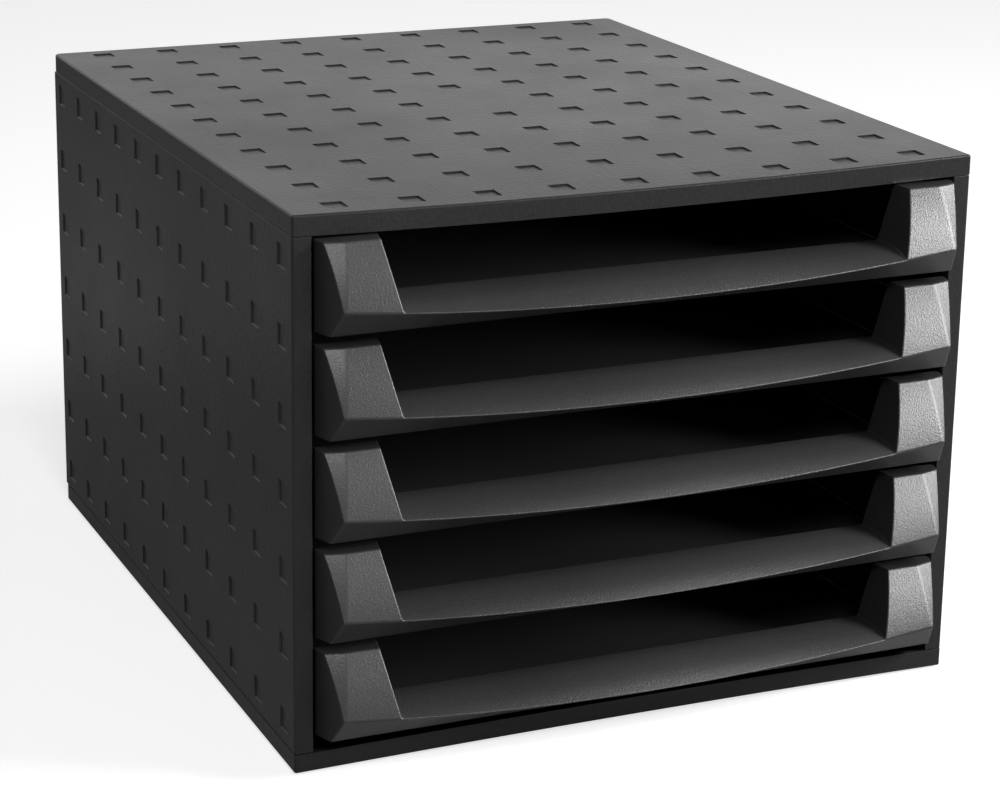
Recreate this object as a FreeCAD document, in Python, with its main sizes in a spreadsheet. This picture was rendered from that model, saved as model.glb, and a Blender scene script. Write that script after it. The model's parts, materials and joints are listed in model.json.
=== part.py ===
import FreeCAD, Part
import math
import os
import Sketcher

# Desk drawer module: a moulded casing of lid, base, two side panels and a back panel,
# with five open-fronted drawers that slide on ribs moulded on the side panels.
#
# Every body is drawn in the casing's own frame: X = 0 in the middle, Y = 0 on the casing's
# front plane with +Y to the back, Z = 0 on the casing's underside. Placements then move all
# of them to the part's frame, whose origin is at the middle of the bounding box's underside.

doc = FreeCAD.newDocument("drawer_module")

# ---------------------------------------------------------------- driving dimensions (mm)

DIMENSIONS = [
    ("casing_width", 284, "outside width of the casing"),
    ("casing_depth", 328, "outside depth of the casing, without the drawer fronts"),
    ("casing_height", 217.2, "outside height of the casing, without the feet"),
    ("wall", 2.5, "wall of the lid and base mouldings"),
    ("lid_height", 8, "height of the lid's skirt"),
    ("base_height", 7.4, "height of the base's rim"),
    ("seam", 0.3, "open seam between a panel and the lid or base"),
    ("fit", 0.2, "clearance between a rim and the tongue inside it"),
    ("front_corner_radius", 1, "rounding of the lid's and base's front upright edges"),
    ("back_corner_radius", 3, "rounding of the lid's and base's back upright edges"),
    ("post_edge_radius", 1.2, "rounding of a side panel's front upright edge"),
    ("panel_back_radius", 0.5, "rounding of a side panel's back upright edge"),
    ("lid_edge_radius", 0.9, "rounding of the lid's top edges"),
    ("base_edge_radius", 0.6, "rounding of the base's bottom edges"),
    ("rib_thickness", 2, "stiffening ribs under the lid and on the base"),
    ("rib_height", 3, "height of the stiffening ribs"),
    ("rib_count", 5, "stiffening ribs on each of the lid and base"),
    ("rib_side_gap", 8, "from the casing's side to the end of a stiffening rib"),
    ("tongue", 2.2, "thickness of a panel's tongue"),
    ("tongue_grip", 6, "how far a tongue runs down the panel's inner face"),
    ("post_width", 7.5, "width of the side panel's posts"),
    ("front_post_depth", 9, "depth of the side panel's front post"),
    ("back_post_depth", 8, "depth of the side panel's back post"),
    ("recess_pitch", 30.4, "pitch of the small square recesses, both ways"),
    ("recess_size", 8.6, "side of a square recess"),
    ("recess_depth", 0.6, "depth of a square recess"),
    ("recess_margin", 9, "least distance from an outermost recess's middle to its face's edge"),
    ("foot_length", 26, "length of a foot pad"),
    ("foot_width", 12, "width of a foot pad"),
    ("foot_thickness", 2, "thickness of a foot pad"),
    ("foot_stand_out", 0.8, "how far a foot pad stands below the base"),
    ("foot_corner_radius", 3, "rounding of a foot pad's corners"),
    ("foot_clearance", 0.2, "clearance round a foot pad in its seat"),
    ("foot_side_inset", 12, "from the casing's side to the foot pad"),
    ("foot_end_inset", 14, "from the casing's front or back to the foot pad"),
    ("drawer_count", 5, "drawers"),
    ("lid_gap", 1.7, "gap between the lid's skirt and the top drawer's front"),
    ("front_gap", 4.9, "gap between one drawer's front and the next"),
    ("base_gap", 7, "gap between the bottom drawer's front and the base's rim"),
    ("front_side_gap", 1.1, "gap between a drawer's front and the front post"),
    ("front_wall", 2.5, "wall between the drawer's front and its tray"),
    ("lip_reach", 18, "how far the lip's middle stands in front of the casing"),
    ("lip_end_reach", 15, "how far the lip's line stands out at the drawer's sides"),
    ("lip_rise", 4.4, "from the bottom of the front up to the lip's middle"),
    ("lip_end_rise", 11.2, "from the bottom of the front up to the lip's line at the sides"),
    ("foot_reach", 7.8, "how far the front's bottom edge stands in front of the casing"),
    ("brow_reach", 6.5, "how far the grip block's top edge stands in front of the casing"),
    ("brow_round", 0.8, "bevel of the grip block's top edge"),
    ("face_radius", 115, "radius of the grip block's slightly crowned face"),
    ("ramp_rise", 12.9, "from the bottom of the front up to the top of the sloping lip"),
    ("block_width_top", 24.4, "width of a grip block's top, along its back edge"),
    ("block_lean", 0.287, "slope of the grip block's inner side against upright"),
    ("block_flare", 0.206, "slope of the grip block's inner side against the depth"),
    ("cheek_slope", 0.37, "slope of the drawer front's outer side against the depth"),
    ("band_width", 7, "width of the turned-back band on the block's face, at its top"),
    ("band_width_low", 0.9, "width of the band at the lip's line"),
    ("band_turn", 0.25, "how fast the band turns back, against the width"),
    ("cavity_depth", 4.4, "depth of the hollow inside a drawer's front"),
    ("cavity_skin", 3, "skin left over the hollow"),
    ("tray_back_gap", 10, "from the tray's back to the casing's back plane"),
    ("tray_inset", 15, "from the casing's side to the tray's side wall"),
    ("tray_wall", 2, "wall and floor of the tray"),
    ("runner_drop", 10, "from the top of the front down to the tray's runner flange"),
    ("runner_thickness", 2, "thickness of the runner flange"),
    ("runner_width", 6, "width of the runner flange outside the tray"),
    ("back_wall_drop", 14, "from the top of the front down to the tray's back wall"),
    ("slide_gap", 0.3, "running gap under the runner flange"),
    ("lift_gap", 0.8, "running gap over the runner flange"),
    ("side_gap", 1.2, "gap between a rib and the tray's side wall"),
    ("guide_thickness", 2, "thickness of a guide rib"),
    ("drawer_travel", 205, "how far a drawer slides before its stop"),
    ("stop_margin", 0.3, "gap left between the stop lug and the post at full travel"),
    ("stop_length", 6, "length of the stop lug"),
    ("stop_reach", 4.5, "how far the stop lug stands out from the flange"),
    ("overrun", 5, "how far a cutting shape runs past what it cuts"),
]

sheet = doc.addObject("Spreadsheet::Sheet", "sizes")
for row, (alias, size, meaning) in enumerate(DIMENSIONS, start=1):
    sheet.set(f"A{row}", meaning)
    sheet.set(f"B{row}", str(size))
    sheet.setAlias(f"B{row}", alias)
doc.recompute()


def expr(text):
    """An expression in bare words, rewritten to read the cells of those names."""
    words = {alias for alias, _, _ in DIMENSIONS}
    out = ""
    word = ""
    for letter in text + " ":
        if letter.isalnum() or letter == "_":
            word += letter
            continue
        out += f"sizes.{word}" if word in words else word
        out += letter
        word = ""
    return out.strip()


def number(text):
    """The value of an expression in the sheet's words."""
    return float(sheet.evalExpression(expr(text).replace("sizes.", "")))


def bind(thing, prop, text):
    thing.setExpression(prop, expr(text))


# ---------------------------------------------------------------- places worked out from the sizes

HALF_WIDTH = "casing_width / 2"
FRONT_Y = "(lip_reach - casing_depth) / 2"
PITCH = "((casing_height - lid_height - base_height - lid_gap - base_gap + front_gap) / drawer_count)"
FRONT_HEIGHT = f"({PITCH} - front_gap)"
SEAM_TOP = "casing_height - lid_height"
LID_UNDERSIDE = "casing_height - wall"
SKIN = "(wall + fit)"
PANEL_BOTTOM = "base_height + seam"
PANEL_TOP = "casing_height - lid_height - seam"
DRAWER_TOP = "(casing_height - lid_height - lid_gap)"
DRAWER_HALF = "(casing_width / 2 - post_width - front_side_gap)"
DRAWER_BOTTOM = f"({DRAWER_TOP} - {FRONT_HEIGHT})"
RAMP_TOP = f"({DRAWER_BOTTOM} + ramp_rise)"
RUNNER_TOP = f"({DRAWER_TOP} - runner_drop)"
TRAY_HALF = f"({HALF_WIDTH} - tray_inset)"
TRAY_BACK = "(casing_depth - tray_back_gap)"
CAVITY_BACK = "(front_wall - tray_wall)"
STOP_Y = "(front_post_depth + drawer_travel + stop_margin)"


# ---------------------------------------------------------------- drawing helpers

def new_body(name):
    body = doc.addObject("PartDesign::Body", name)
    body.Label = name
    return body


def origin_feature(body, role):
    for feature in body.Origin.OriginFeatures:
        if feature.Role == role:
            return feature
    raise RuntimeError(f"{body.Name} has no {role}")


def pin_point(sketch, line, point, x, y):
    """Hold one end of a line at a place given by two expressions."""
    for kind, text in (("DistanceX", x), ("DistanceY", y)):
        rule = Sketcher.Constraint(kind, -1, 1, line, point, number(text))
        index = sketch.addConstraint(rule)
        bind(sketch, f"Constraints[{index}]", text)


def add_arc(sketch, start, end, radius):
    """An arc from start to end that bulges to the right of that direction."""
    chord = end - start
    middle = (start + end) / 2
    side = FreeCAD.Vector(chord.y, -chord.x, 0)
    side.normalize()
    height = radius - math.sqrt(radius**2 - chord.Length**2 / 4)
    top = middle + side * height
    return sketch.addGeometry(Part.Arc(start, top, end), False)


def draw_outline(sketch, corners, arcs=None):
    """A closed outline. arcs maps a side's number to its radius, or to "level" for an arc that
    starts level."""
    arcs = arcs or {}
    points = [FreeCAD.Vector(number(x), number(y), 0) for x, y in corners]
    first = sketch.GeometryCount
    count = len(points)
    for side, start in enumerate(points):
        end = points[(side + 1) % count]
        if side not in arcs:
            sketch.addGeometry(Part.LineSegment(start, end), False)
        elif arcs[side] == "level":
            fall = start.y - end.y
            run = end.x - start.x
            radius = (run**2 + fall**2) / (2 * abs(fall))
            centre = FreeCAD.Vector(start.x, start.y - radius, 0)
            outward = (start + end) / 2 - centre
            outward.normalize()
            sketch.addGeometry(Part.Arc(start, centre + outward * radius, end), False)
        else:
            add_arc(sketch, start, end, number(arcs[side]))
    for side in range(count):
        following = first + (side + 1) % count
        join = Sketcher.Constraint("Coincident", first + side, 2, following, 1)
        sketch.addConstraint(join)
    for side, (x, y) in enumerate(corners):
        pin_point(sketch, first + side, 1, x, y)
    for side, radius in arcs.items():
        curve = first + side
        if radius == "level":
            sketch.addConstraint(Sketcher.Constraint("Vertical", curve, 1, curve, 3))
        else:
            rule = Sketcher.Constraint("Radius", curve, number(radius))
            bind(sketch, f"Constraints[{sketch.addConstraint(rule)}]", radius)


def new_sketch(body, name, plane, offset, corners, arcs=None):
    """A sketch of one outline on a plane of the body's origin, moved along its normal."""
    sketch = body.newObject("Sketcher::SketchObject", name)
    sketch.AttachmentSupport = [(origin_feature(body, plane), "")]
    sketch.MapMode = "FlatFace"
    bind(sketch, "AttachmentOffset.Base.z", offset)
    draw_outline(sketch, corners, arcs)
    return sketch


def rectangle(left, right, low, high):
    return [(left, low), (right, low), (right, high), (left, high)]


def pad(body, name, sketch, length, back=False):
    feature = body.newObject("PartDesign::Pad", name)
    feature.Profile = sketch
    bind(feature, "Length", length)
    feature.Reversed = back
    return feature


def pocket(body, name, sketch, length, back=False):
    """A pocket that must take something away; back turns it along the sketch's normal."""
    doc.recompute()
    before = body.Shape.Volume
    feature = body.newObject("PartDesign::Pocket", name)
    feature.Profile = sketch
    bind(feature, "Length", length)
    feature.Reversed = back
    doc.recompute()
    if body.Shape.Volume >= before:
        raise RuntimeError(f"{name} cuts nothing")
    return feature


def pattern(body, name, feature, first, second=None):
    """Repeat a feature along one or two axes: each is (axis role, back, pitch, count)."""
    repeat = body.newObject("PartDesign::LinearPattern", name)
    repeat.Originals = [feature]
    for suffix, way in (("", first), ("2", second)):
        if way is None:
            continue
        role, back, pitch, count = way
        setattr(repeat, "Direction" + suffix, (origin_feature(body, role), [""]))
        setattr(repeat, "Reversed" + suffix, back)
        bind(repeat, "Occurrences" + suffix, count)
        bind(repeat, "Length" + suffix, f"({pitch}) * (({count}) - 1)")
    body.Tip = repeat
    return repeat


def round_edges(body, name, radius, wanted):
    """Fillet the edges of the body's last feature that wanted(edge) picks."""
    doc.recompute()
    base = body.Tip
    names = [f"Edge{i}" for i, edge in enumerate(base.Shape.Edges, start=1) if wanted(edge)]
    if not names:
        raise RuntimeError(f"{name} finds no edge")
    feature = body.newObject("PartDesign::Fillet", name)
    feature.Base = (base, names)
    bind(feature, "Radius", radius)
    return feature


def is_upright(edge, x, y):
    """An upright edge that stands at plus or minus x and at y."""
    box = edge.BoundBox
    slim = box.XLength < 0.01 and box.YLength < 0.01
    return slim and abs(abs(box.Center.x) - x) < 0.01 and abs(box.Center.y - y) < 0.01


def is_level(edge, z):
    """An edge that lies in the level plane at z."""
    return abs(edge.BoundBox.ZMin - z) < 0.01 and abs(edge.BoundBox.ZMax - z) < 0.01


def place(thing):
    """Move a finished piece from the casing's frame to the part's frame."""
    bind(thing, "Placement.Base.y", FRONT_Y)
    bind(thing, "Placement.Base.z", "foot_stand_out")


# ---------------------------------------------------------------- square recesses

def recess_field(body, name, plane, offset, middle, ways, back):
    """A field of square recesses, repeated from the first one, whose middle is given."""
    across, up = middle
    corners = rectangle(
        f"{across} - recess_size / 2",
        f"{across} + recess_size / 2",
        f"{up} - recess_size / 2",
        f"{up} + recess_size / 2",
    )
    sketch = new_sketch(body, f"{name}_outline", plane, offset, corners)
    first = pocket(body, f"{name}_first", sketch, "recess_depth", back)
    return pattern(body, f"{name}_field", first, *ways)


def half_row(length):
    """How many recesses fit on each side of the middle one along a face of this length."""
    return f"floor((({length}) / 2 - recess_margin) / recess_pitch)"


def row_of(length):
    """How many recesses, an odd number, fit along a face of this length."""
    return f"(2 * {half_row(length)} + 1)"


def first_of(middle, length):
    """The place of the first recess of a row that is centred on middle."""
    return f"{middle} - recess_pitch * {half_row(length)}"


PANEL_MIDDLE = "(casing_height - lid_height + base_height) / 2"
PANEL_HEIGHT = "(casing_height - lid_height - base_height)"
DEPTH_MIDDLE = "casing_depth / 2"


# ---------------------------------------------------------------- casing

def shell_tray(name, bottom, height, opens_up):
    """A shallow rectangular shell with a rim: the lid, or the base."""
    body = new_body(name)
    outside = rectangle(f"-{HALF_WIDTH}", HALF_WIDTH, "0", "casing_depth")
    sketch = new_sketch(body, f"{name}_outside", "XY_Plane", bottom, outside)
    pad(body, f"{name}_block", sketch, height)
    half = number(HALF_WIDTH)
    depth = number("casing_depth")
    round_edges(body, f"{name}_front_corners", "front_corner_radius", lambda e: is_upright(e, half, 0))
    round_edges(body, f"{name}_back_corners", "back_corner_radius", lambda e: is_upright(e, half, depth))
    inside = rectangle(f"wall - {HALF_WIDTH}", f"{HALF_WIDTH} - wall", "wall", "casing_depth - wall")
    mouth = f"{bottom} + {height}" if opens_up else bottom
    sketch = new_sketch(body, f"{name}_inside", "XY_Plane", mouth, inside)
    pocket(body, f"{name}_hollow", sketch, f"{height} - wall", back=not opens_up)
    return body


def stiffening_ribs(body, name, floor, upward):
    """Cross ribs on the inner face of the lid or base."""
    spacing = "(casing_depth / (rib_count + 1))"
    corners = rectangle(
        f"rib_side_gap - {HALF_WIDTH}",
        f"{HALF_WIDTH} - rib_side_gap",
        f"{spacing} - rib_thickness / 2",
        f"{spacing} + rib_thickness / 2",
    )
    sketch = new_sketch(body, f"{name}_rib", "XY_Plane", floor, corners)
    rib = pad(body, f"{name}_first_rib", sketch, "rib_height", back=not upward)
    pattern(body, f"{name}_ribs", rib, ("Y_Axis", False, spacing, "rib_count"))


def make_lid():
    body = shell_tray("lid", SEAM_TOP, "lid_height", opens_up=False)
    stiffening_ribs(body, "lid", LID_UNDERSIDE, upward=False)
    top = number("casing_height")
    round_edges(body, "lid_top_edges", "lid_edge_radius", lambda e: is_level(e, top))
    # the middle place of the middle row stays bare, so the field is cut in four blocks
    across = row_of("casing_width")
    beside = half_row("casing_width")
    beyond = half_row("casing_depth")
    left = first_of("0", "casing_width")
    front = first_of(DEPTH_MIDDLE, "casing_depth")
    blocks = [
        ("front", left, front, across, beyond),
        ("back", left, f"{DEPTH_MIDDLE} + recess_pitch", across, beyond),
        ("middle_left", left, DEPTH_MIDDLE, beside, None),
        ("middle_right", "recess_pitch", DEPTH_MIDDLE, beside, None),
    ]
    for block, x, y, columns, rows in blocks:
        ways = [("X_Axis", False, "recess_pitch", columns)]
        if rows:
            ways.append(("Y_Axis", False, "recess_pitch", rows))
        recess_field(body, f"lid_{block}", "XY_Plane", "casing_height", (x, y), ways, back=False)
    place(body)
    return body


def make_base():
    body = shell_tray("base", "0", "base_height", opens_up=True)
    stiffening_ribs(body, "base", "wall", upward=True)
    round_edges(body, "base_bottom_edges", "base_edge_radius", lambda e: is_level(e, 0))
    for side, end, name in FEET:
        corners = rectangle(*foot_extents(side, end, "foot_clearance"))
        sketch = new_sketch(body, f"{name}_seat", "XY_Plane", "0", corners)
        pocket(body, f"{name}_seat_cut", sketch, "foot_thickness - foot_stand_out", back=True)
    place(body)
    return body


FEET = [
    (-1, -1, "foot_front_left"),
    (1, -1, "foot_front_right"),
    (-1, 1, "foot_back_left"),
    (1, 1, "foot_back_right"),
]


def foot_extents(side, end, extra):
    """Left, right, front and back of a foot pad, grown by extra all round."""
    inner = f"({HALF_WIDTH} - foot_side_inset - foot_length - {extra})"
    outer = f"({HALF_WIDTH} - foot_side_inset + {extra})"
    near = f"(foot_end_inset - {extra})"
    far = f"(foot_end_inset + foot_width + {extra})"
    left, right = (f"-{outer}", f"-{inner}") if side < 0 else (inner, outer)
    if end < 0:
        return left, right, near, far
    return left, right, f"casing_depth - {far}", f"casing_depth - {near}"


def make_foot(side, end, name):
    body = new_body(name)
    corners = rectangle(*foot_extents(side, end, "0"))
    sketch = new_sketch(body, f"{name}_outline", "XY_Plane", "-foot_stand_out", corners)
    pad(body, f"{name}_pad", sketch, "foot_thickness")
    doc.recompute()
    round_edges(body, f"{name}_corners", "foot_corner_radius", lambda e: e.BoundBox.ZLength > 0.01)
    place(body)
    return body


def make_side_panel():
    """The left side panel; the right one is its mirror image."""
    name = "side_panel_left"
    body = new_body(name)
    outer = f"-{HALF_WIDTH}"
    inner = f"{SKIN} - {HALF_WIDTH}"
    post = f"post_width - {HALF_WIDTH}"
    back_post = f"casing_depth - {SKIN}"
    section = [
        (outer, "0"),
        (post, "0"),
        (post, "front_post_depth"),
        (inner, "front_post_depth"),
        (inner, f"{back_post} - back_post_depth"),
        (post, f"{back_post} - back_post_depth"),
        (post, back_post),
        (inner, back_post),
        (inner, "casing_depth"),
        (outer, "casing_depth"),
    ]
    sketch = new_sketch(body, f"{name}_section", "XY_Plane", PANEL_BOTTOM, section)
    pad(body, f"{name}_plate", sketch, f"{PANEL_TOP} - ({PANEL_BOTTOM})")
    half = number(HALF_WIDTH)
    depth = number("casing_depth")
    round_edges(body, f"{name}_front_edge", "post_edge_radius", lambda e: is_upright(e, half, 0))
    round_edges(body, f"{name}_back_edge", "panel_back_radius", lambda e: is_upright(e, half, depth))
    tongue = [
        (inner, SKIN),
        (post, SKIN),
        (post, "front_post_depth"),
        (f"{inner} + tongue", "front_post_depth"),
        (f"{inner} + tongue", back_post),
        (inner, back_post),
    ]
    for end, start, stop in tongue_ends():
        sketch = new_sketch(body, f"{name}_{end}_tongue_outline", "XY_Plane", start, tongue)
        pad(body, f"{name}_{end}_tongue", sketch, f"{stop} - ({start})")
    add_guides(body, name, inner)
    ways = [
        ("Y_Axis", False, "recess_pitch", row_of("casing_depth")),
        ("Z_Axis", False, "recess_pitch", row_of(PANEL_HEIGHT)),
    ]
    front = first_of(DEPTH_MIDDLE, "casing_depth")
    bottom = first_of(PANEL_MIDDLE, PANEL_HEIGHT)
    recess_field(body, name, "YZ_Plane", outer, (front, bottom), ways, back=True)
    place(body)
    return body


def tongue_ends():
    """Bottom and top tongue: name, lower end and upper end."""
    return [
        ("bottom", "wall", f"{PANEL_BOTTOM} + tongue_grip"),
        ("top", f"{PANEL_TOP} - tongue_grip", LID_UNDERSIDE),
    ]


def add_guides(body, name, inner):
    """Two ribs for each drawer, which the runner flange slides between."""
    rib_edge = f"-({TRAY_HALF} + side_gap)"
    runner_bottom = f"{RUNNER_TOP} - runner_thickness"
    levels = [
        ("lower", f"{runner_bottom} - slide_gap - guide_thickness", f"{runner_bottom} - slide_gap"),
        ("upper", f"{RUNNER_TOP} + lift_gap", f"{RUNNER_TOP} + lift_gap + guide_thickness"),
    ]
    length = f"casing_depth - {SKIN} - back_post_depth - front_post_depth"
    for level, low, high in levels:
        corners = rectangle(inner, rib_edge, low, high)
        sketch = new_sketch(body, f"{name}_{level}_guide", "XZ_Plane", "-front_post_depth", corners)
        rib = pad(body, f"{name}_{level}_first_rib", sketch, length, back=True)
        pattern(body, f"{name}_{level}_ribs", rib, ("Z_Axis", True, PITCH, "drawer_count"))


def make_back_panel():
    name = "back_panel"
    body = new_body(name)
    half = f"({HALF_WIDTH} - {SKIN} - fit)"
    plate = rectangle(f"-{half}", half, f"casing_depth - {SKIN}", "casing_depth")
    sketch = new_sketch(body, f"{name}_outline", "XY_Plane", PANEL_BOTTOM, plate)
    pad(body, f"{name}_plate", sketch, f"{PANEL_TOP} - ({PANEL_BOTTOM})")
    half = f"({HALF_WIDTH} - post_width - fit)"
    tongue = rectangle(
        f"-{half}", half, f"casing_depth - {SKIN} - tongue", f"casing_depth - {SKIN}"
    )
    for end, start, stop in tongue_ends():
        sketch = new_sketch(body, f"{name}_{end}_tongue_outline", "XY_Plane", start, tongue)
        pad(body, f"{name}_{end}_tongue", sketch, f"{stop} - ({start})")
    ways = [
        ("X_Axis", False, "recess_pitch", row_of("casing_width")),
        ("Z_Axis", False, "recess_pitch", row_of(PANEL_HEIGHT)),
    ]
    left = first_of("0", "casing_width")
    bottom = first_of(PANEL_MIDDLE, PANEL_HEIGHT)
    recess_field(body, name, "XZ_Plane", "-casing_depth", (left, bottom), ways, back=True)
    place(body)
    return body


# ---------------------------------------------------------------- drawer

def front_section(reach, rise):
    """Side view of the drawer's front: y forward is minus, z up."""
    return [
        ("front_wall", DRAWER_TOP),
        ("-(brow_reach - brow_round)", DRAWER_TOP),
        ("-brow_reach", f"{DRAWER_TOP} - brow_round"),
        (f"-{reach}", f"{DRAWER_BOTTOM} + {rise}"),
        ("-foot_reach", DRAWER_BOTTOM),
        ("front_wall", DRAWER_BOTTOM),
    ]


def loft_across(body, name, section_of, arcs):
    """A loft through the same outline at the left side, the middle and the right side."""
    stations = [
        ("left", f"-{DRAWER_HALF}", "lip_end_reach", "lip_end_rise"),
        ("middle", "0", "lip_reach", "lip_rise"),
        ("right", DRAWER_HALF, "lip_end_reach", "lip_end_rise"),
    ]
    sketches = []
    for station, x, reach, rise in stations:
        corners = section_of(reach, rise)
        sketches.append(new_sketch(body, f"{name}_{station}", "YZ_Plane", x, corners, arcs))
    doc.recompute()
    loft = body.newObject("PartDesign::AdditiveLoft", name)
    loft.Profile = sketches[0]
    loft.Sections = sketches[1:]
    return loft


def cut_cheeks(body):
    """Slant the front's outer sides, from the casing's front plane forward."""
    reach = "(lip_reach + overrun)"
    for side, sign in (("left", "-"), ("right", "")):
        edge = f"{sign}{DRAWER_HALF}"
        slanted = f"{sign}({DRAWER_HALF} - cheek_slope * {reach})"
        corners = [(edge, "0"), (slanted, f"-{reach}"), (edge, f"-{reach}")]
        sketch = new_sketch(body, f"cheek_{side}", "XY_Plane", f"{DRAWER_TOP} + overrun", corners)
        pocket(body, f"cheek_{side}_cut", sketch, f"{FRONT_HEIGHT} + 2 * overrun")


def cut_cavities(body):
    """Hollow the grip blocks and the lip from below."""
    front = f"-(cavity_depth - {CAVITY_BACK})"
    inner = f"({DRAWER_HALF} - block_width_top + cavity_skin)"
    outer = f"({DRAWER_HALF} - cavity_skin)"
    spans = [
        ("left", f"-{outer}", f"-{inner}", f"{FRONT_HEIGHT} - cavity_skin"),
        ("right", inner, outer, f"{FRONT_HEIGHT} - cavity_skin"),
        ("lip", f"cavity_skin * 2 - {inner}", f"{inner} - cavity_skin * 2",
         "ramp_rise - cavity_skin"),
    ]
    for span, left, right, height in spans:
        corners = rectangle(left, right, front, CAVITY_BACK)
        sketch = new_sketch(body, f"cavity_{span}", "XY_Plane", DRAWER_BOTTOM, corners)
        pocket(body, f"cavity_{span}_cut", sketch, height, back=True)


def add_tray(body):
    """The tray behind the front, its runner flanges and its stop lugs."""
    outside = rectangle(f"-{TRAY_HALF}", TRAY_HALF, "front_wall", TRAY_BACK)
    sketch = new_sketch(body, "tray_outside", "XY_Plane", DRAWER_BOTTOM, outside)
    pad(body, "tray_block", sketch, f"{FRONT_HEIGHT} - runner_drop")
    runner = f"({TRAY_HALF} + runner_width)"
    flange = rectangle(f"-{runner}", runner, "front_wall", TRAY_BACK)
    sketch = new_sketch(body, "runner_outline", "XY_Plane", RUNNER_TOP, flange)
    pad(body, "runners", sketch, "runner_thickness", back=True)
    lug = f"({runner} + stop_reach)"
    stop = rectangle(f"-{lug}", lug, STOP_Y, f"{STOP_Y} + stop_length")
    sketch = new_sketch(body, "stop_outline", "XY_Plane", RUNNER_TOP, stop)
    pad(body, "stops", sketch, "runner_thickness", back=True)
    inside = rectangle(
        f"tray_wall - {TRAY_HALF}",
        f"{TRAY_HALF} - tray_wall",
        "front_wall",
        f"{TRAY_BACK} - tray_wall",
    )
    sketch = new_sketch(body, "tray_inside", "XY_Plane", f"{DRAWER_TOP} + overrun", inside)
    pocket(body, "tray_hollow", sketch, f"{FRONT_HEIGHT} - tray_wall + overrun")
    back = rectangle(
        f"tray_wall - {TRAY_HALF}",
        f"{TRAY_HALF} - tray_wall",
        f"{TRAY_BACK} - tray_wall",
        f"{TRAY_BACK} + overrun",
    )
    sketch = new_sketch(body, "back_wall_top", "XY_Plane", RUNNER_TOP, back)
    pocket(body, "back_wall_cut", sketch, "back_wall_drop - runner_drop")


def opening_section(reach, rise):
    """Side view of the air over the sloping lip, from the lip's line to above the front."""
    return [
        ("0", RAMP_TOP),
        (f"-{reach}", f"{DRAWER_BOTTOM} + {rise}"),
        (f"-({reach} + overrun)", f"{DRAWER_BOTTOM} + {rise}"),
        (f"-({reach} + overrun)", f"{DRAWER_TOP} + overrun"),
        ("front_wall + overrun", f"{DRAWER_TOP} + overrun"),
        ("front_wall + overrun", RAMP_TOP),
    ]


def opening_half_width(y, z):
    """Half width between the grip blocks' inner sides at a depth and a height."""
    top = f"({DRAWER_HALF} - block_width_top)"
    return f"({top} - block_flare * ({y}) + block_lean * (({z}) - {DRAWER_TOP}))"


def make_opening():
    """The air between the grip blocks and above the lip, which the drawer's front leaves open."""
    air = new_body("air_over_lip")
    loft_across(air, "air_over_lip_loft", opening_section, {0: "level"})
    gap = new_body("air_between_blocks")
    sketches = []
    for level, z in (("low", f"{DRAWER_BOTTOM} - overrun"), ("high", f"{DRAWER_TOP} + 2 * overrun")):
        ahead = "-(lip_reach + 2 * overrun)"
        behind = "front_wall + 2 * overrun"
        far = opening_half_width(behind, z)
        near = opening_half_width(ahead, z)
        corners = [(f"-{near}", ahead), (near, ahead), (far, behind), (f"-{far}", behind)]
        sketches.append(new_sketch(gap, f"gap_{level}", "XY_Plane", z, corners))
    doc.recompute()
    loft = gap.newObject("PartDesign::AdditiveLoft", "gap_loft")
    loft.Profile = sketches[0]
    loft.Sections = sketches[1:]
    loft.Ruled = True
    opening = doc.addObject("Part::Common", "drawer_opening")
    opening.Base = air
    opening.Tool = gap
    return opening


def crease_at(x, middle, end):
    """A size of the lip's line at one place across the drawer, between its middle and end sizes."""
    return f"({middle} - ({middle} - {end}) * ({x} / {DRAWER_HALF}) ^ 2)"


def make_band_cut(side, sign):
    """The air in front of one block's outer band, which turns back from the face."""
    body = new_body(f"band_{side}")
    top_start = f"({DRAWER_HALF} - cheek_slope * brow_reach - band_width)"
    low_start = f"({DRAWER_HALF} - cheek_slope * lip_end_reach - band_width_low)"
    low_reach = crease_at(low_start, "lip_reach", "lip_end_reach")
    low_rise = crease_at(low_start, "lip_rise", "lip_end_rise")
    ahead = "-(lip_reach + 2 * overrun)"
    above = f"{DRAWER_TOP} + overrun / 2"
    inner = f"({top_start} - overrun)"
    outer = f"({DRAWER_HALF} + overrun)"
    sketches = []
    for station, x in (("inner", inner), ("outer", outer)):
        top_y = f"(band_turn * ({x} - {top_start}) - brow_reach)"
        low_y = f"(band_turn * ({x} - {low_start}) - {low_reach})"
        corners = [
            (top_y, f"{DRAWER_TOP} - brow_round"),
            (low_y, f"{DRAWER_BOTTOM} + {low_rise}"),
            (ahead, f"{DRAWER_BOTTOM} + {low_rise}"),
            (ahead, above),
            (f"{top_y} + brow_round", above),
            (f"{top_y} + brow_round", DRAWER_TOP),
        ]
        name = f"band_{side}_{station}"
        sketches.append(new_sketch(body, name, "YZ_Plane", f"{sign}{x}", corners, {0: "face_radius"}))
    doc.recompute()
    loft = body.newObject("PartDesign::AdditiveLoft", f"band_{side}_loft")
    loft.Profile = sketches[0]
    loft.Sections = sketches[1:]
    loft.Ruled = True
    return body


def make_drawer():
    """The top drawer, a one-piece moulding of front and tray."""
    body = new_body("drawer_moulding")
    loft_across(body, "front_block", front_section, {2: "face_radius"})
    cut_cheeks(body)
    add_tray(body)
    cut_cavities(body)
    doc.recompute()
    drawer = doc.addObject("Part::Cut", "drawer_1")
    drawer.Label = "drawer_1"
    drawer.Base = body
    shaping = doc.addObject("Part::Compound", "front_shaping")
    shaping.Links = [make_opening(), make_band_cut("left", "-"), make_band_cut("right", "")]
    drawer.Tool = shaping
    place(drawer)
    return drawer


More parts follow.
